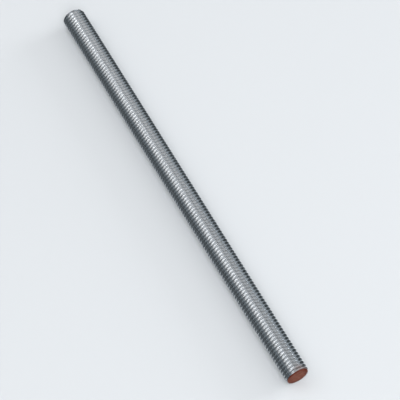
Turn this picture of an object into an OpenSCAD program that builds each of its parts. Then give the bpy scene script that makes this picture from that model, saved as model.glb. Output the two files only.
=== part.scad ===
// Fully threaded steel rod with a bevel at each end and paint over one end.
// The rod lies along X and rests on Z = 0. The painted end points along +X.
// The body is drawn to the thread's outside diameter. The thread itself is a fine surface detail,
// so its ridge is left to the surface model.

/* [Rod] */
// Outside diameter of the thread
thread_d = 10; // [5:0.5:24]
// Length of the steel, from end face to end face
rod_len = 200; // [60:10:1000]
// Bevel round each end face, the same along the rod and across it
bevel = 0.6; // [0.2:0.1:1]

/* [Paint] */
// Thickness of the paint on the marked end face
paint_t = 0.1; // [0.05:0.05:0.3]

/* [Hidden] */
$fn = 96;

// Radius over the thread, and of the flat face inside the bevel
thread_r = thread_d / 2;
face_r = thread_r - bevel;

// The rod and its paint together are centred on X = 0
marked_face_x = (rod_len - paint_t) / 2;
plain_face_x = marked_face_x - rod_len;

// Turns an outline of [radius, place along X] about the rod's own line
module turned(outline) {
    translate([0, 0, thread_r])
        rotate([0, 90, 0])
            rotate_extrude()
                polygon(outline);
}

// Solid steel rod, bevelled at both ends
module threaded_rod() {
    color("silver")
        turned([
            [0, plain_face_x],
            [face_r, plain_face_x],
            [thread_r, plain_face_x + bevel],
            [thread_r, marked_face_x - bevel],
            [face_r, marked_face_x],
            [0, marked_face_x]
        ]);
}

// Coat of paint over the marked face, running out to nothing at the outer edge of the bevel
module end_paint() {
    color("brown")
        turned([
            [0, marked_face_x],
            [face_r, marked_face_x],
            [thread_r, marked_face_x - bevel],
            [face_r, marked_face_x + paint_t],
            [0, marked_face_x + paint_t]
        ]);
}

threaded_rod();
end_paint();
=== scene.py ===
# %% [markdown]
# # A fully threaded steel rod with one painted end
# The rod is bright steel bar, rolled with one right-hand thread from end to end. It is cut square, both
# ends are bevelled, and one end is dabbed with red-brown paint. The frame gives its size and place. Here it
# gets its real thread, its finish and a plain studio.

# %% The frame
import math

import bmesh
import bpy
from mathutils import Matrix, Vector


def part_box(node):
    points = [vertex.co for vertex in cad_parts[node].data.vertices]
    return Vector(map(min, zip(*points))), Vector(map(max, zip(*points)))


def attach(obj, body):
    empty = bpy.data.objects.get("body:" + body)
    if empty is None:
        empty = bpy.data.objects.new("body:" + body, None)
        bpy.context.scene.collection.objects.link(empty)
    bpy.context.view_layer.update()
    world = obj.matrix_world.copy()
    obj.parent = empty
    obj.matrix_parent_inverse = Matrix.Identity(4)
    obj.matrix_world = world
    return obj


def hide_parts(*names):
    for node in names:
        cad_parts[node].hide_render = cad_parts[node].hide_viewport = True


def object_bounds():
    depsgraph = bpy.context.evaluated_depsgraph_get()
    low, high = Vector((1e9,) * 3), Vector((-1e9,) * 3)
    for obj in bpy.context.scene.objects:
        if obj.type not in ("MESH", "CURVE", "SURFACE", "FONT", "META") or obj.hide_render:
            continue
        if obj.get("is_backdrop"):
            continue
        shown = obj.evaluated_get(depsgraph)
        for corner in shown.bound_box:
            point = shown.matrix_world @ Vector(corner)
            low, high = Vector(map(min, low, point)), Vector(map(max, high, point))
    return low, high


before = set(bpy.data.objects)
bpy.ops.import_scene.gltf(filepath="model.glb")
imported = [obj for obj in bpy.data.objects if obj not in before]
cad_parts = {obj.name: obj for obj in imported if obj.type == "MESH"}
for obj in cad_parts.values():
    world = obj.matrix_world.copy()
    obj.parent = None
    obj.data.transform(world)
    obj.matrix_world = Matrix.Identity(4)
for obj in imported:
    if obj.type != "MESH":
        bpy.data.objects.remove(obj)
cad_low, cad_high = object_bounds()
rod_low, rod_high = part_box("threaded_rod")
paint_low, paint_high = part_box("end_paint")
print("rod box in mm:", [round(v * 1000, 2) for v in (*rod_low, *rod_high)])

# %% [markdown]
# ## Sizes
# The outside radius comes from the frame, and everything else follows from the thread's pitch. A metric
# thread is cut from a triangle whose sides meet at 60 degrees. Its height is the pitch times the cosine of
# 30 degrees. The crest is flattened to an eighth of the pitch, and the root is a round of a sixth of that
# height. That leaves a groove 17/24 of the height deep.

# %% Sizes
MM = 0.001
PITCH = 1.5 * MM
RADIUS = (rod_high.z - rod_low.z) / 2
AXIS_Z = (rod_high.z + rod_low.z) / 2
MARKED_X = rod_high.x
PLAIN_X = rod_low.x
BEVEL = rod_high.x - paint_low.x
FACE_RADIUS = RADIUS - BEVEL
PAINT_THICK = paint_high.x - rod_high.x

TRIANGLE = PITCH * math.cos(math.radians(30))
CREST_HALF = PITCH / 16
ROOT_ROUND = TRIANGLE / 6
ROOT_RADIUS = RADIUS - 17 / 24 * TRIANGLE
print("turns of thread:", round((MARKED_X - PLAIN_X) / PITCH, 1))
print("depth of thread in mm:", round((RADIUS - ROOT_RADIUS) / MM, 3))

# %% [markdown]
# ## One pitch of the thread
# The ridge is the same all along, so one pitch of its outline is enough: crest, flank, round root, and back
# up. Each point is a place along the rod and a radius. The crest's corners are broken by a small slope, as
# rolling leaves them, and the root is an arc.

# %% One pitch of the thread
FLANK_ANGLE = math.radians(60)
CREST_BREAK = 0.035 * MM
ROOT_ANGLES = (-60, -22, 22, 60)


def pitch_outline():
    """Points (along, radius) of one pitch, from one crest's middle nearly to the next one's."""
    crest_edge = CREST_HALF + CREST_BREAK / math.tan(FLANK_ANGLE)
    crest_flat = CREST_HALF - CREST_BREAK
    points = [(crest_flat, RADIUS), (crest_edge, RADIUS - CREST_BREAK)]
    for degrees in ROOT_ANGLES:
        turn = math.radians(degrees)
        along = PITCH / 2 + ROOT_ROUND * math.sin(turn)
        points.append((along, ROOT_RADIUS + ROOT_ROUND * (1 - math.cos(turn))))
    points.append((PITCH - crest_edge, RADIUS - CREST_BREAK))
    points.append((PITCH - crest_flat, RADIUS))
    return points


outline = pitch_outline()
print("points in one pitch:", len(outline))

# %% [markdown]
# ## Points and pieces
# A place on the rod is easiest to give as a distance along it, a distance from its axis and an angle round
# it. One helper turns those three into a point. Another makes a piece out of a bmesh, which is Blender's
# editable mesh, once all its faces point outwards. A third counts triangles, to see what each step costs.

# %% Points and pieces
def on_rod(along, radius, angle):
    """A point on the rod: angle is counted round +X from straight up."""
    return Vector((along, -radius * math.sin(angle), AXIS_Z + radius * math.cos(angle)))


def new_object(name, bm):
    """Turns a bmesh into an object in the scene."""
    bmesh.ops.recalc_face_normals(bm, faces=bm.faces)
    mesh = bpy.data.meshes.new(name)
    bm.to_mesh(mesh)
    bm.free()
    obj = bpy.data.objects.new(name, mesh)
    bpy.context.scene.collection.objects.link(obj)
    return obj


def triangles(obj):
    """How many triangles a mesh has."""
    return sum(len(p.vertices) - 2 for p in obj.data.polygons)


print("top of the rod in mm:", [round(v / MM, 2) for v in on_rod(0, RADIUS, 0)])

# %% [markdown]
# ## The ridge
# A Screw modifier could turn this outline, but it would leave a thread open at both ends. Here the helix is
# built row by row instead. Each step round the rod moves the outline forward by its share of a pitch, and
# after a full turn it lands exactly on the next ridge, so the rows knit into one skin. The two ends are
# closed with a fan well past the rod, where they will be cut away.

# %% The ridge
STEPS = 80
SPARE_TURNS = 2


def helical_ridge(points, start_x, turns):
    """A closed skin that follows the outline round a right-hand helix."""
    bm = bmesh.new()
    rows = []
    for step in range(turns * STEPS + 1):
        angle = 2 * math.pi * step / STEPS
        shift = start_x + PITCH * step / STEPS
        row = [on_rod(shift + along, radius, angle) for along, radius in points]
        rows.append([bm.verts.new(point) for point in row])
    for step in range((turns - 1) * STEPS):
        # The last point of a row joins the first point of the row one turn on.
        here = [*rows[step], rows[step + STEPS][0]]
        after = [*rows[step + 1], rows[step + STEPS + 1][0]]
        for i in range(len(points)):
            bm.faces.new((here[i], here[i + 1], after[i + 1], after[i]))
    for v in [v for v in bm.verts if not v.link_faces]:
        bm.verts.remove(v)
    rims = [e for e in bm.edges if e.is_boundary]
    middle = start_x + turns * PITCH / 2
    for hub_x in (start_x - PITCH, start_x + (turns + 1) * PITCH):
        hub = bm.verts.new((hub_x, 0, AXIS_Z))
        for e in rims:
            if (e.verts[0].co.x < middle) == (hub_x < middle):
                bm.faces.new((*e.verts, hub))
    return new_object("steel_rod", bm)


turns = round((MARKED_X - PLAIN_X) / PITCH) + 2 * SPARE_TURNS
rod = helical_ridge(outline, PLAIN_X - SPARE_TURNS * PITCH, turns)
print("ridge triangles:", triangles(rod))

# %% [markdown]
# ## A Boolean that leaves a clean mesh
# The ends are cut, and the paint fitted, with Booleans. The Manifold solver is fast and leaves a closed
# mesh, but where two surfaces cross at a shallow angle it also leaves slivers thinner than a hair. They
# would be stray faces in an exported file. So after each cut, points that all but touch are merged, oddly
# shaped faces are split into triangles, and faces left without area are dissolved. The plain four-sided
# faces of the thread stay as they are.

# %% A Boolean that leaves a clean mesh
SLIVER = 0.002 * MM


def is_plain(face):
    """True for a triangle, and for a four-sided face with no fold or notch in its outline."""
    sides = len(face.verts)
    return sides == 3 or sides == 4 and all(corner.is_convex for corner in face.loops)


def drop_slivers(mesh):
    """Merges points that all but touch, and dissolves the faces left without area."""
    bm = bmesh.new()
    bm.from_mesh(mesh)
    points_before = len(bm.verts)
    bmesh.ops.remove_doubles(bm, verts=bm.verts, dist=SLIVER)
    bmesh.ops.triangulate(bm, faces=[face for face in bm.faces if not is_plain(face)])
    bmesh.ops.dissolve_degenerate(bm, dist=SLIVER, edges=bm.edges)
    print("points merged away:", points_before - len(bm.verts))
    bm.to_mesh(mesh)
    bm.free()


def combine(obj, other, operation):
    """Applies one Boolean to obj and removes the other object."""
    modifier = obj.modifiers.new("cut", "BOOLEAN")
    modifier.operation = operation
    modifier.solver = "MANIFOLD"
    modifier.object = other
    depsgraph = bpy.context.evaluated_depsgraph_get()
    mesh = bpy.data.meshes.new_from_object(obj.evaluated_get(depsgraph))
    drop_slivers(mesh)
    obj.modifiers.clear()
    obj.data = mesh
    bpy.data.objects.remove(other)


print("slivers thinner than", round(SLIVER / MM, 4), "mm are cleaned away")

# %% [markdown]
# ## Cutting the ends
# On the real rod the thread is rolled first and the ends are bevelled afterwards, so the ridge runs out
# into the bevel as a thin crescent. The same order works here. The blank is a turned bar, a hair wider than
# the ridge, so that only its two ends cut, and what it has in common with the ridge is the rod.

# %% Cutting the ends
BLANK_MARGIN = 0.01 * MM
BLANK_STEPS = 192


def turned(name, points, steps):
    """A closed solid turned about the rod's axis from points of (along, radius), with flat ends."""
    bm = bmesh.new()
    rings = []
    for along, radius in points:
        rings.append([bm.verts.new(on_rod(along, radius, 2 * math.pi * k / steps)) for k in range(steps)])
    for low, high in zip(rings, rings[1:]):
        for k in range(steps):
            bm.faces.new((low[k - 1], low[k], high[k], high[k - 1]))
    bm.faces.new(rings[0])
    bm.faces.new(rings[-1])
    return new_object(name, bm)


blank_radius = RADIUS + BLANK_MARGIN
blank = turned("blank", [
    (PLAIN_X, FACE_RADIUS),
    (PLAIN_X + BEVEL + BLANK_MARGIN, blank_radius),
    (MARKED_X - BEVEL - BLANK_MARGIN, blank_radius),
    (MARKED_X, FACE_RADIUS),
], BLANK_STEPS)
combine(rod, blank, "INTERSECT")
print("rod triangles:", triangles(rod))

# %% [markdown]
# ## Smooth flanks, crisp corners
# Smooth shading hides the steps round the rod. Left alone it would also round off the bevels and the
# crests, so edges that turn sharply are marked sharp. A Weighted Normal modifier then lets the broad flanks
# set the shading, and the narrow corner strips take the bend.

# %% Smooth flanks
SHARP_ANGLE = math.radians(32)
FLANK_WEIGHT = 60


def shade(obj):
    """Smooth shading with sharp corners, led by the largest faces."""
    obj.data.polygons.foreach_set("use_smooth", [True] * len(obj.data.polygons))
    obj.data.set_sharp_from_angle(angle=SHARP_ANGLE)
    weighted = obj.modifiers.new("flat_flanks", "WEIGHTED_NORMAL")
    weighted.keep_sharp = True
    weighted.weight = FLANK_WEIGHT


shade(rod)
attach(rod, "root")
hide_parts("threaded_rod")
print("corners count as sharp from", round(math.degrees(SHARP_ANGLE)), "degrees")

# %% [markdown]
# ## Paint on the end
# The marked end was dabbed with paint. It covers the face, wraps over the corner and stops about a third of
# the way up the bevel, with an uneven edge as a brush leaves it. Painting the steel mesh by material would
# give no thickness and no edge. Instead a soft blob is turned first, and the rod is cut out of it later.
# Three waves round the rod, of different lengths, move its back edge to and fro.

# %% Paint on the end
PAINT_STEPS = 192
PAINT_REACH = 0.3 * BEVEL
PAINT_SKIN = 0.05 * MM
PAINT_ROOTED = 0.3 * MM
LIP_INSET = 6 * PAINT_SKIN
FACE_DIP = (
    # share of the paint's thickness, share of the face's radius
    (0.7, 0.7),
    (0.8, 0.2),
)
EDGE_WAVES = (
    # height, waves round the rod, start angle
    (0.06 * MM, 3, 0.4),
    (0.07 * MM, 17, 1.9),
    (0.05 * MM, 29, 0.8),
)
WAVED_BEHIND = MARKED_X - PAINT_REACH / 3


def edge_wave(angle):
    """How far the paint's back edge wanders along the rod at one angle."""
    return sum(height * math.sin(count * angle + start) for height, count, start in EDGE_WAVES)


reach_radius = FACE_RADIUS + PAINT_REACH
coat = turned("paint_coat", [
    # Inside the steel, where it will be cut away
    (MARKED_X - PAINT_REACH - PAINT_ROOTED, reach_radius - 2 * PAINT_ROOTED),
    # The thin edge on the bevel, and the film over it
    (MARKED_X - PAINT_REACH, reach_radius),
    (MARKED_X - PAINT_REACH / 2, FACE_RADIUS + PAINT_REACH / 2 + PAINT_SKIN),
    # Round the corner
    (MARKED_X, FACE_RADIUS + PAINT_SKIN),
    (MARKED_X + PAINT_THICK / 2, FACE_RADIUS - PAINT_SKIN / 2),
    # A raised lip, and the face a little lower inside it
    (MARKED_X + PAINT_THICK, FACE_RADIUS - LIP_INSET),
    *[(MARKED_X + thickness * PAINT_THICK, share * FACE_RADIUS) for thickness, share in FACE_DIP],
], PAINT_STEPS)
for v in coat.data.vertices:
    if v.co.x < WAVED_BEHIND:
        v.co.x += edge_wave(math.atan2(-v.co.y, v.co.z - AXIS_Z))
print("blob triangles:", triangles(coat))

# %% [markdown]
# ## Fitting the paint to the steel
# The helper throws its second object away, so it is a copy of the rod that is cut out of the blob. What is
# left is a closed film that fits the bevel and the end face exactly.

# %% Fitting the paint to the steel
cutter = rod.copy()
cutter.data = rod.data.copy()
cutter.modifiers.clear()
bpy.context.scene.collection.objects.link(cutter)
combine(coat, cutter, "DIFFERENCE")
shade(coat)
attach(coat, "root")
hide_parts("end_paint")
print("paint triangles:", triangles(coat))

# %% [markdown]
# ## Adding nodes
# In Blender a finish is a small net of nodes. One helper adds a node: its settings go on the node, and each
# input is fed with a plain value or a link. Two short ones stand for the nodes used most: a sum, and a ramp
# from one range of numbers to another.

# %% Adding nodes
def feed(tree, node, feeds):
    """Links each feed that is a socket, and sets any other as a value."""
    for name, value in feeds.items():
        if isinstance(value, bpy.types.NodeSocket):
            tree.links.new(value, node.inputs[name])
        else:
            node.inputs[name].default_value = value


def add(tree, kind, feeds, **settings):
    """Adds one shader node."""
    node = tree.nodes.new("ShaderNode" + kind)
    for name, value in settings.items():
        setattr(node, name, value)
    feed(tree, node, feeds)
    return node


def calc(tree, operation, *values):
    """One Math node, and its result."""
    return add(tree, "Math", dict(enumerate(values)), operation=operation).outputs[0]


def ramp(tree, value, start_end, low_high=(0.0, 1.0), **settings):
    """Goes from low to high as the value goes from start to end, and stays level beyond them."""
    start, end = start_end
    low, high = low_high
    node = add(tree, "MapRange", {
        "Value": value, "From Min": start, "From Max": end, "To Min": low, "To Max": high}, **settings)
    return node.outputs["Result"]


# %% [markdown]
# ## Node groups
# A node group is a finish effect with named inputs and outputs. It is built once and placed in every
# material that needs it, with values of its own each time. These three helpers start a group, end it and
# place it.

# %% Node groups
SOCKETS = {float: "NodeSocketFloat", tuple: "NodeSocketVector"}


def start_group(name, inputs, outputs):
    """A new node group, with the sockets to read from."""
    tree = bpy.data.node_groups.new(name, "ShaderNodeTree")
    for label, value in inputs.items():
        socket = tree.interface.new_socket(label, in_out="INPUT", socket_type=SOCKETS[type(value)])
        socket.default_value = value
    for label, value in outputs.items():
        tree.interface.new_socket(label, in_out="OUTPUT", socket_type=SOCKETS[type(value)])
    return tree, tree.nodes.new("NodeGroupInput").outputs


def end_group(tree, results):
    """Hands the results to the group's outputs."""
    feed(tree, tree.nodes.new("NodeGroupOutput"), results)
    print("group", tree.name, "puts out", list(results), "from", len(tree.nodes), "nodes")


def place_group(tree, group, feeds):
    """Places a group in a material and returns its outputs."""
    node = tree.nodes.new("ShaderNodeGroup")
    node.node_tree = group
    feed(tree, node, feeds)
    return node.outputs


# %% [markdown]
# ## Where a point lies on the rod
# Wear and paint follow the part, so both finishes ask the same thing first: how far is this point from the
# marked end, and how far from the axis? Object coordinates answer it without any unwrapping, because every
# piece is modelled in its own place. The answers are in millimetres, which keeps the later numbers
# readable.

# %% Where a point lies on the rod
ORIGIN = (0.0, 0.0, 0.0)

rod_places, given = start_group(
    "rod_places",
    {"Marked End": MARKED_X, "Axis Height": AXIS_Z},
    {"Along": 0.0, "Radius": 0.0, "Place": ORIGIN},
)
axes = add(rod_places, "SeparateXYZ", {0: add(rod_places, "TexCoord", {}).outputs["Object"]}).outputs
along = calc(rod_places, "DIVIDE", calc(rod_places, "SUBTRACT", given["Marked End"], axes["X"]), MM)
sideways = calc(rod_places, "DIVIDE", axes["Y"], MM)
above = calc(rod_places, "DIVIDE", calc(rod_places, "SUBTRACT", axes["Z"], given["Axis Height"]), MM)
from_axis = add(rod_places, "CombineXYZ", {"Y": sideways, "Z": above}).outputs[0]
end_group(rod_places, {
    "Along": along,
    "Radius": add(rod_places, "VectorMath", {0: from_axis}, operation="LENGTH").outputs["Value"],
    "Place": add(rod_places, "CombineXYZ", {"X": along, "Y": sideways, "Z": above}).outputs[0],
})

# %% [markdown]
# ## Uneven tone
# No real surface has one even colour. Rolled steel shows soft lighter and darker patches, and paint dries
# thicker in some places than in others. This group turns noise into a mask of patches, and each material
# mixes two colours of its own with it. A higher contrast gives patches with firmer edges.

# %% Uneven tone
NOISE_MIDDLE = 0.5

uneven_tone, given = start_group(
    "uneven_tone", {"Place": ORIGIN, "Patch Size": 1.0, "Contrast": 1.0}, {"Mask": 0.0})
patches = add(uneven_tone, "TexNoise", {
    "Vector": given["Place"],
    "Scale": calc(uneven_tone, "DIVIDE", 1.0, given["Patch Size"]),
    "Detail": 3.0,
    "Roughness": 0.6,
}).outputs["Fac"]
swing = calc(
    uneven_tone, "MULTIPLY", calc(uneven_tone, "SUBTRACT", patches, NOISE_MIDDLE), given["Contrast"])
stretched = calc(uneven_tone, "ADD", swing, NOISE_MIDDLE)
end_group(uneven_tone, {"Mask": add(uneven_tone, "Clamp", {"Value": stretched}).outputs[0]})

# %% [markdown]
# ## Drawn marks
# Tools leave lines. The rolls draw fine lines round the thread, and the brush draws lines across the wet
# paint. Both are a noise that changes quickly in one direction and slowly along the line. A
# four-dimensional noise does that without a seam: the quick direction is its fourth coordinate, and the
# place itself is only a slow drift.

# %% Drawn marks
FIRM_MARKS = (0.4, 0.65)

drawn_marks, given = start_group(
    "drawn_marks",
    {"Place": ORIGIN, "Quick Way": 0.0, "Marks per mm": 4.0, "Mark Length": 4.0},
    {"Height": 0.0, "Mask": 0.0},
)
drift = add(drawn_marks, "VectorMath", {
    0: given["Place"],
    1: add(drawn_marks, "CombineXYZ", {axis: given["Mark Length"] for axis in "XYZ"}).outputs[0],
}, operation="DIVIDE").outputs[0]
marks = add(drawn_marks, "TexNoise", {
    "Vector": drift,
    "W": calc(drawn_marks, "MULTIPLY", given["Quick Way"], given["Marks per mm"]),
    "Scale": 1.0,
    "Detail": 2.0,
}, noise_dimensions="4D").outputs["Fac"]
end_group(drawn_marks, {"Height": marks, "Mask": ramp(drawn_marks, marks, FIRM_MARKS)})

# %% [markdown]
# ## How far the paint reaches
# Brushed paint never stops on a ruled line. This mask is 1 at the marked end and falls to 0 at a given
# distance, and its edge wanders with a noise. The steel uses it for the film of paint on its last turns.
# The paint uses it for where its face ends and the thin, dark skirt on the bevel begins.

# %% How far the paint reaches
paint_reach, given = start_group(
    "paint_reach",
    {"Along": 0.0, "Place": ORIGIN, "Reach": 1.0, "Fade": 1.0, "Wander": 0.5, "Patch Size": 2.0},
    {"Mask": 0.0},
)
wander = add(paint_reach, "TexNoise", {
    "Vector": given["Place"],
    "Scale": calc(paint_reach, "DIVIDE", 1.0, given["Patch Size"]),
    "Detail": 2.0,
}).outputs["Fac"]
swing = calc(paint_reach, "SUBTRACT", wander, NOISE_MIDDLE)
moved = calc(paint_reach, "MULTIPLY_ADD", swing, given["Wander"], given["Along"])
fade_start = calc(paint_reach, "SUBTRACT", given["Reach"], given["Fade"])
reached = ramp(
    paint_reach, moved, (fade_start, given["Reach"]), (1.0, 0.0), interpolation_type="SMOOTHSTEP")
end_group(paint_reach, {"Mask": reached})

# %% [markdown]
# ## The material itself
# Each finish is a Principled shader with the groups in front of it. Colours are mixed by a mask from two
# given ones. A Mix node has a pair of inputs for each kind of value, and its numbers 6 and 7 are the two
# colours. A number that is the same all over, such as the paint's gloss, is set on the shader itself.

# %% The material itself
MIX_COLORS = (6, 7)
MIX_RESULT = 2


def start_material(name):
    """A material with its Principled shader, and where each point lies on the rod."""
    material = bpy.data.materials.new(name)
    material.use_nodes = True
    tree = material.node_tree
    return material, tree, tree.nodes["Principled BSDF"], place_group(tree, rod_places, {})


def mix_colors(tree, mask, *colors):
    """The first colour where the mask is 0, the second where it is 1."""
    node = add(tree, "Mix", {0: mask}, data_type="RGBA")
    for number, color in zip(MIX_COLORS, colors):
        feed(tree, node, {number: color if isinstance(color, bpy.types.NodeSocket) else (*color, 1)})
    return node.outputs[MIX_RESULT]


def add_bump(tree, shader, height, depth):
    """Gives the shader fine relief: the height runs from 0 to 1, and the depth is in metres."""
    bump = add(tree, "Bump", {"Height": height, "Distance": depth, "Strength": 1.0})
    tree.links.new(bump.outputs["Normal"], shader.inputs["Normal"])


def finish(obj, material):
    """Gives the piece one material."""
    obj.data.materials.clear()
    obj.data.materials.append(material)
    print(obj.name, "wears", material.name, "of", len(material.node_tree.nodes), "nodes")


# %% [markdown]
# ## Bright rolled steel
# The rod is bare bright steel, cool in tone. Thread rolling burnishes the flanks but hardly touches the
# crests, so those stay darker. The roots are darker too: partly a little grime, and partly painted shade
# for the hollow of the groove. The distance from the axis tells crest from flank from root, so two masks
# made from it are enough, and they follow the helix without any unwrapping.

# %% Bright rolled steel
STEEL_DARK = (0.478, 0.500, 0.521)
STEEL_LIGHT = (0.520, 0.544, 0.567)
STEEL_ROOT_GRIME_AND_SHADE = (0.397, 0.415, 0.432)
STEEL_CREST = (0.401, 0.420, 0.437)
CREST_MM = RADIUS / MM
ROOT_MM = ROOT_RADIUS / MM
ROOT_GRIME_AND_SHADE_RANGE = (ROOT_MM + 0.2, ROOT_MM)
CREST_RANGE = (CREST_MM - 0.09, CREST_MM - 0.03)

steel, tree, shader, places = start_material("bright_steel")
tone = place_group(tree, uneven_tone, {"Place": places["Place"], "Patch Size": 2.5, "Contrast": 2.0})
# Darker roots: a little grime, and painted shade in the hollow of the groove.
root_grime_and_shade = ramp(tree, places["Radius"], ROOT_GRIME_AND_SHADE_RANGE)
on_crest = ramp(tree, places["Radius"], CREST_RANGE)
steel_color = mix_colors(tree, tone["Mask"], STEEL_DARK, STEEL_LIGHT)
steel_color = mix_colors(tree, root_grime_and_shade, steel_color, STEEL_ROOT_GRIME_AND_SHADE)
steel_color = mix_colors(tree, on_crest, steel_color, STEEL_CREST)
# This is how deep the roots' grime and painted shade reaches.
print("depth of the grime in mm:", round(ROOT_GRIME_AND_SHADE_RANGE[0] - ROOT_GRIME_AND_SHADE_RANGE[1], 2))

# %% [markdown]
# ## A film of paint on the last turns
# The brush that marked the end also caught the last turns of thread on one side. It left a pale pink film
# on the bright steel, and thicker, darker paint in the grooves, where it gathered. The film's strength is
# the product of three masks: how far the paint reaches, which side was brushed, and how deep in the groove
# the point lies.

# %% A film of paint on the last turns
STEEL_FILM = (0.520, 0.370, 0.340)
GROOVE_PAINT = (0.130, 0.070, 0.055)
FILM_REACH = 3.4
BRUSHED_SIDE = (-1.6, 0.8)
GROOVE_RANGE = (CREST_MM - 0.2, ROOT_MM + 0.3)
FILM_STRENGTH = (0.5, 0.85)

film = place_group(tree, paint_reach, {
    "Along": places["Along"],
    "Place": places["Place"],
    "Reach": FILM_REACH,
    "Fade": FILM_REACH,
    "Wander": 3.0,
    "Patch Size": 3.0,
})
sideways = add(tree, "SeparateXYZ", {0: places["Place"]}).outputs["Y"]
on_brushed_side = ramp(tree, sideways, BRUSHED_SIDE)
in_groove = ramp(tree, places["Radius"], GROOVE_RANGE)
film_strength = ramp(tree, in_groove, (0.0, 1.0), FILM_STRENGTH)
film_amount = calc(tree, "MULTIPLY", calc(tree, "MULTIPLY", film["Mask"], on_brushed_side), film_strength)
film_color = mix_colors(tree, in_groove, STEEL_FILM, GROOVE_PAINT)
print("turns under the film:", round(FILM_REACH * MM / PITCH, 1))

# %% [markdown]
# ## The steel's gloss
# The rolls draw fine lines along the flanks, which show as a fine change of roughness and as a very shallow
# relief. The crests are a touch smoother. Paint is no metal, so the metallic value drops with the film.

# %% The steel's gloss
STEEL_ROUGHNESS = (0.17, 0.20)
CREST_SMOOTHER = -0.02
FILM_METALLIC = 0.6
ROLLED_DEPTH = 0.0015 * MM

rolled = place_group(tree, drawn_marks, {
    "Place": places["Place"], "Quick Way": places["Along"], "Marks per mm": 7.0, "Mark Length": 5.0})
drawn_roughness = ramp(tree, rolled["Mask"], (0.0, 1.0), STEEL_ROUGHNESS)
feed(tree, shader, {
    "Base Color": mix_colors(tree, film_amount, steel_color, film_color),
    "Roughness": calc(tree, "MULTIPLY_ADD", on_crest, CREST_SMOOTHER, drawn_roughness),
    "Metallic": ramp(tree, film_amount, (0.0, 1.0), (1.0, FILM_METALLIC)),
})
add_bump(tree, shader, rolled["Height"], ROLLED_DEPTH)
finish(rod, steel)

# %% [markdown]
# ## Brushed-on marking paint
# The paint is a dull red-brown workshop marking paint. It dried in uneven patches: the face is browner in
# the middle and darker and redder round its rim, where more of it gathered. The bevel holds only a thin,
# dark skirt of it. Brush lines run across the face. It has hardly any gloss of its own.

# %% Brushed-on marking paint
PAINT_RED = (0.145, 0.038, 0.020)
PAINT_BROWN = (0.200, 0.070, 0.043)
PAINT_RIM = (0.090, 0.010, 0.002)
PAINT_SKIRT = (0.060, 0.010, 0.007)
FACE_MM = FACE_RADIUS / MM
RIM_RANGE = (0.5 * FACE_MM, FACE_MM)
RIM_STRENGTH = (0.35, 1.0)

paint, tree, shader, places = start_material("marking_paint")
tone = place_group(tree, uneven_tone, {"Place": places["Place"], "Patch Size": 1.3, "Contrast": 3.0})
rim_tone = place_group(tree, uneven_tone, {"Place": places["Place"], "Patch Size": 2.0, "Contrast": 4.0})
near_rim = ramp(tree, places["Radius"], RIM_RANGE)
on_rim = calc(tree, "MULTIPLY", near_rim, ramp(tree, rim_tone["Mask"], (0.0, 1.0), RIM_STRENGTH))
face_color = mix_colors(tree, tone["Mask"], PAINT_RED, PAINT_BROWN)
face_color = mix_colors(tree, on_rim, face_color, PAINT_RIM)
print("the rim's red starts at a radius of", round(RIM_RANGE[0], 2), "mm")

# %% [markdown]
# ## The paint's skirt and brush lines
# The same reach mask that set the film on the steel now tells the face from the skirt: the skirt starts
# just behind the face. Brush lines are drawn marks too, only wider and deeper than those of the rolls.

# %% The paint's skirt and brush lines
SKIRT_START = 0.12
PAINT_ROUGHNESS = (0.42, 0.55)
PAINT_GLOSS = 0.08
BRUSHED_DEPTH = 0.03 * MM

on_face = place_group(tree, paint_reach, {
    "Along": places["Along"],
    "Place": places["Place"],
    "Reach": SKIRT_START,
    "Fade": SKIRT_START,
    "Wander": 0.05,
    "Patch Size": 1.2,
})
across_face = add(tree, "SeparateXYZ", {0: places["Place"]}).outputs["Z"]
brushed = place_group(tree, drawn_marks, {
    "Place": places["Place"], "Quick Way": across_face, "Marks per mm": 2.2, "Mark Length": 5.0})
feed(tree, shader, {
    "Base Color": mix_colors(tree, on_face["Mask"], PAINT_SKIRT, face_color),
    "Roughness": ramp(tree, brushed["Mask"], (0.0, 1.0), PAINT_ROUGHNESS),
    "Metallic": 0.0,
    "Specular IOR Level": PAINT_GLOSS,
})
add_bump(tree, shader, brushed["Height"], BRUSHED_DEPTH)
finish(coat, paint)

# %% [markdown]
# ## A plain pale floor
# The rod lies on a seamless pale sheet. It is matte, with no gloss at all, so it doesn't glare when it is
# seen from low down. The floor is marked as part of the stage, so it isn't counted as a piece of the
# object, and it keeps the rod's soft shadow.

# %% A plain pale floor
FLOOR_COLOR = (0.616, 0.642, 0.667)
FLOOR_HALF = 3.0
FLOOR_ROUGHNESS = 0.6
FLOOR_GLOSS = 0.0

bm = bmesh.new()
corners = [(x * FLOOR_HALF, y * FLOOR_HALF, 0) for x, y in ((-1, -1), (1, -1), (1, 1), (-1, 1))]
bm.faces.new([bm.verts.new(corner) for corner in corners])
floor = new_object("floor", bm)
floor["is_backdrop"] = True

floor_material = bpy.data.materials.new("pale_floor")
floor_material.use_nodes = True
tree = floor_material.node_tree
feed(tree, tree.nodes["Principled BSDF"], {
    "Base Color": (*FLOOR_COLOR, 1),
    "Roughness": FLOOR_ROUGHNESS,
    "Specular IOR Level": FLOOR_GLOSS,
})
finish(floor, floor_material)

# %% [markdown]
# ## Dark cards beside the rod
# Bright metal on a white sheet loses its edges, because they mirror the sheet. In a studio, dark cards
# stand close to both sides of it to draw the edges back in. These two lean away from the rod, and they are
# finely pleated from end to end. A flat card would shade crest and flank alike, so a fine thread would
# disappear in it. With pleats, crest and flank mirror folds that face opposite ways, and from the camera's
# side each turn of the thread stands out from the next. From some other sides the rod still looks smoother
# than it is.

# %% Dark cards beside the rod
CARD_HALF = 160 * MM
CARD_START = 6.0 * MM
CARD_LEAN = 7 / 13
CARD_HEIGHT = 13.0 * MM
FOLD_WIDTH = 0.5 * MM
FOLD_DEPTH = 2.0 * MM


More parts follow.
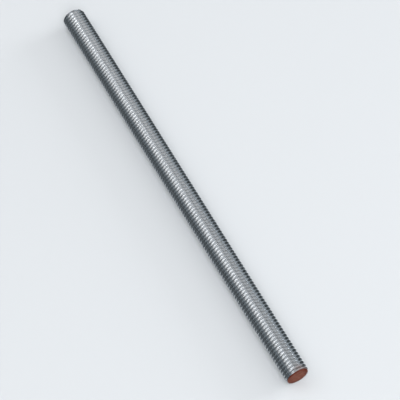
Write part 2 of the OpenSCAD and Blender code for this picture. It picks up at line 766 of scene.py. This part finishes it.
def pleated_card(name, side):
    """A leaning pleated card along one side of the rod: side is 1 for +Y and -1 for -Y."""
    bm = bmesh.new()
    creases = []
    for number in range(round(2 * CARD_HALF / FOLD_WIDTH) + 1):
        x = -CARD_HALF + number * FOLD_WIDTH
        out = CARD_START + number % 2 * FOLD_DEPTH
        foot = bm.verts.new((x, side * out, 0))
        top = bm.verts.new((x, side * (out + CARD_LEAN * CARD_HEIGHT), CARD_HEIGHT))
        creases.append((foot, top))
    for one, other in zip(creases, creases[1:]):
        bm.faces.new((*one, other[1], other[0]))
    card = new_object(name, bm)
    card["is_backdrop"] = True
    card.visible_camera = False
    card.visible_diffuse = False
    card.visible_shadow = False
    return card


left_card = pleated_card("left_card", -1)
right_card = pleated_card("right_card", 1)
print("folds in each card:", len(left_card.data.polygons))

# %% [markdown]
# ## The cards' glow
# A card that gave off no light at all would leave the edges black. So each card glows a little, and that
# glow is painted light that the steel mirrors: darkest across its middle, a little paler at the foot as
# painted bounce light from the sheet, and palest at the top. The folds that face one end are dim and the
# others bright, a painted light and shade on the folds. The cards show only in reflections: the camera
# doesn't see them, they throw no shadow and they don't shade the floor. The right card's pale top comes
# further down towards the marked end. The glow values started from the same least-squares fit as the soft
# boxes below, and were then changed, judged from the camera's side only.

# %% The cards' glow
CARD_TINT = (0.90, 1.0, 1.07)
FOOT_FADE = (3 * MM, 1 * MM)
TOP_FADE = (6.8 * MM, 8.8 * MM)
FACING_ENDS = (-0.5, 0.5)


def card_glow(card, foot, middle, top, dim, bright, top_slope):
    """Lights a card: the glow of its foot, middle and top, and how much its folds dim or brighten it."""
    material = bpy.data.materials.new(card.name)
    material.use_nodes = True
    tree = material.node_tree
    tree.nodes.remove(tree.nodes["Principled BSDF"])
    axes = add(tree, "SeparateXYZ", {0: add(tree, "TexCoord", {}).outputs["Object"]}).outputs
    # The paler foot is painted bounce light from the sheet.
    foot_glow = ramp(tree, axes["Z"], FOOT_FADE, (0.0, foot - middle))
    sloped_height = calc(tree, "MULTIPLY_ADD", axes["X"], top_slope, axes["Z"])
    top_glow = ramp(tree, sloped_height, TOP_FADE, (0.0, top - middle))
    facing = add(tree, "SeparateXYZ", {0: add(tree, "NewGeometry", {}).outputs["True Normal"]}).outputs["X"]
    # The folds' dim and bright sides are painted light and shade.
    fold_painted_light_and_shade = ramp(tree, facing, FACING_ENDS, (dim, bright))
    low_glow = calc(tree, "MULTIPLY", calc(tree, "ADD", foot_glow, middle), fold_painted_light_and_shade)
    glow = calc(tree, "ADD", low_glow, top_glow)
    emission = add(tree, "Emission", {"Color": (*CARD_TINT, 1), "Strength": glow})
    tree.links.new(emission.outputs[0], tree.nodes["Material Output"].inputs["Surface"])
    finish(card, material)


card_glow(left_card, foot=0.37, middle=0.21, top=0.38, dim=0.62, bright=2.3, top_slope=0.0)
card_glow(right_card, foot=0.26, middle=0.165, top=0.61, dim=0.38, bright=2.6, top_slope=0.010)

# %% [markdown]
# ## A white tent
# The world is a plain white tent round the whole scene, a little brighter near the horizon than overhead.
# It fills every shadow softly, and the steel mirrors it wherever no soft box is in the way. The brightness
# overhead comes from the same least-squares program as the soft boxes below, and is rounded. The brightness
# near the horizon was set by hand, as that program's lower limit.

# %% A white tent
TENT_LOW = 0.60
TENT_HIGH = 0.50
TENT_FADE = (0.08, 0.38)

world = bpy.data.worlds.new("tent")
world.use_nodes = True
bpy.context.scene.world = world
tree = world.node_tree
upward = add(tree, "SeparateXYZ", {0: add(tree, "TexCoord", {}).outputs["Generated"]}).outputs["Z"]
tent_glow = ramp(tree, upward, TENT_FADE, (TENT_LOW, TENT_HIGH), interpolation_type="SMOOTHSTEP")
feed(tree, tree.nodes["Background"], {"Color": (1, 1, 1, 1), "Strength": tent_glow})
print("tent of", len(tree.nodes), "nodes")

# %% [markdown]
# ## Soft boxes
# Square soft boxes hang on the tent, each placed by its compass angle and height and turned towards the
# rod. They give the thread its long highlight on one side and leave the other side grey, and together they
# light the floor at a plain level. These rows weren't chosen by eye. A least-squares program outside this
# script picked ten of 45 possible places and gave each its watts, and only the rows at (54, 48) and (342,
# 48) were changed by hand afterwards. A few soft boxes placed by hand would be plainer, and easier to learn
# from.

# %% Soft boxes
LAMP_WIDTH = 0.8
LAMP_DISTANCE = 1.8
LAMPS = (
    # compass angle, height angle, watts
    (90, 12, 17.5),
    (337.5, 12, 1.12),
    (30, 30, 0.36),
    (90, 30, 3.56),
    (54, 48, 3.2),
    (234, 48, 4.04),
    (342, 48, 13.0),
    (0, 66, 3.8),
    (180, 66, 1.68),
    (300, 66, 1.64),
)


def direction(compass, height):
    """The unit vector at a compass angle, from +X towards +Y, and a height angle, in degrees."""
    turn = math.radians(compass)
    rise = math.radians(height)
    return Vector((math.cos(rise) * math.cos(turn), math.cos(rise) * math.sin(turn), math.sin(rise)))


for number, (compass, height, watts) in enumerate(LAMPS, 1):
    light = bpy.data.lights.new(f"soft_box_{number}", "AREA")
    light.size = LAMP_WIDTH
    light.energy = watts
    lamp = bpy.data.objects.new(light.name, light)
    lamp.location = direction(compass, height) * LAMP_DISTANCE
    lamp.rotation_euler = direction(compass, height).to_track_quat("Z", "Y").to_euler()
    lamp.visible_camera = False
    bpy.context.scene.collection.objects.link(lamp)
print("soft boxes:", len(LAMPS), "watts in all:", round(sum(watts for _, _, watts in LAMPS), 1))

# %% [markdown]
# ## Camera
# The camera looks down steeply on the rod from its marked end, so the painted face shows as a thin slice. A
# long lens keeps the rod nearly as thick at the far end as at the near one. The Standard view transform
# shows colours as they are written. The compass angle, height, distance and aim weren't chosen by eye. They
# come from a least-squares fit outside this script, made for four lengths of lens, of which this one was
# picked.

# %% Camera
CAMERA_COMPASS = -27.914
CAMERA_HEIGHT = 57.529
CAMERA_DISTANCE = 0.7829
CAMERA_AIM = Vector((10.32 * MM, 4.48 * MM, AXIS_Z))
LENS = 171.0
SENSOR = 36
NEAREST = 0.01
FARTHEST = 20

camera_data = bpy.data.cameras.new("camera")
camera_data.sensor_width = SENSOR
camera_data.lens = LENS
camera_data.clip_start = NEAREST
camera_data.clip_end = FARTHEST
camera = bpy.data.objects.new("camera", camera_data)
toward_camera = direction(CAMERA_COMPASS, CAMERA_HEIGHT)
camera.location = CAMERA_AIM + toward_camera * CAMERA_DISTANCE
camera.rotation_euler = (-toward_camera).to_track_quat("-Z", "Y").to_euler()
bpy.context.scene.collection.objects.link(camera)
bpy.context.scene.camera = camera
bpy.context.scene.view_settings.view_transform = "Standard"
print("camera at", [round(v, 3) for v in camera.location])
print("angle of view in degrees:", round(math.degrees(camera_data.angle), 1))

# %% [markdown]
# ## The two boxes
# The visual model keeps the frame's size. Both boxes are measured, and how far the visual model grows past
# the frame is printed. The frame's rod is made of flat facets, and the round one stands a thousandth of a
# millimetre past them.

# %% The two boxes
low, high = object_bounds()
grown = [round((a - b) / MM, 3) for a, b in zip((*cad_low, *high), (*low, *cad_high))]
print("grown past the frame in mm:", grown)
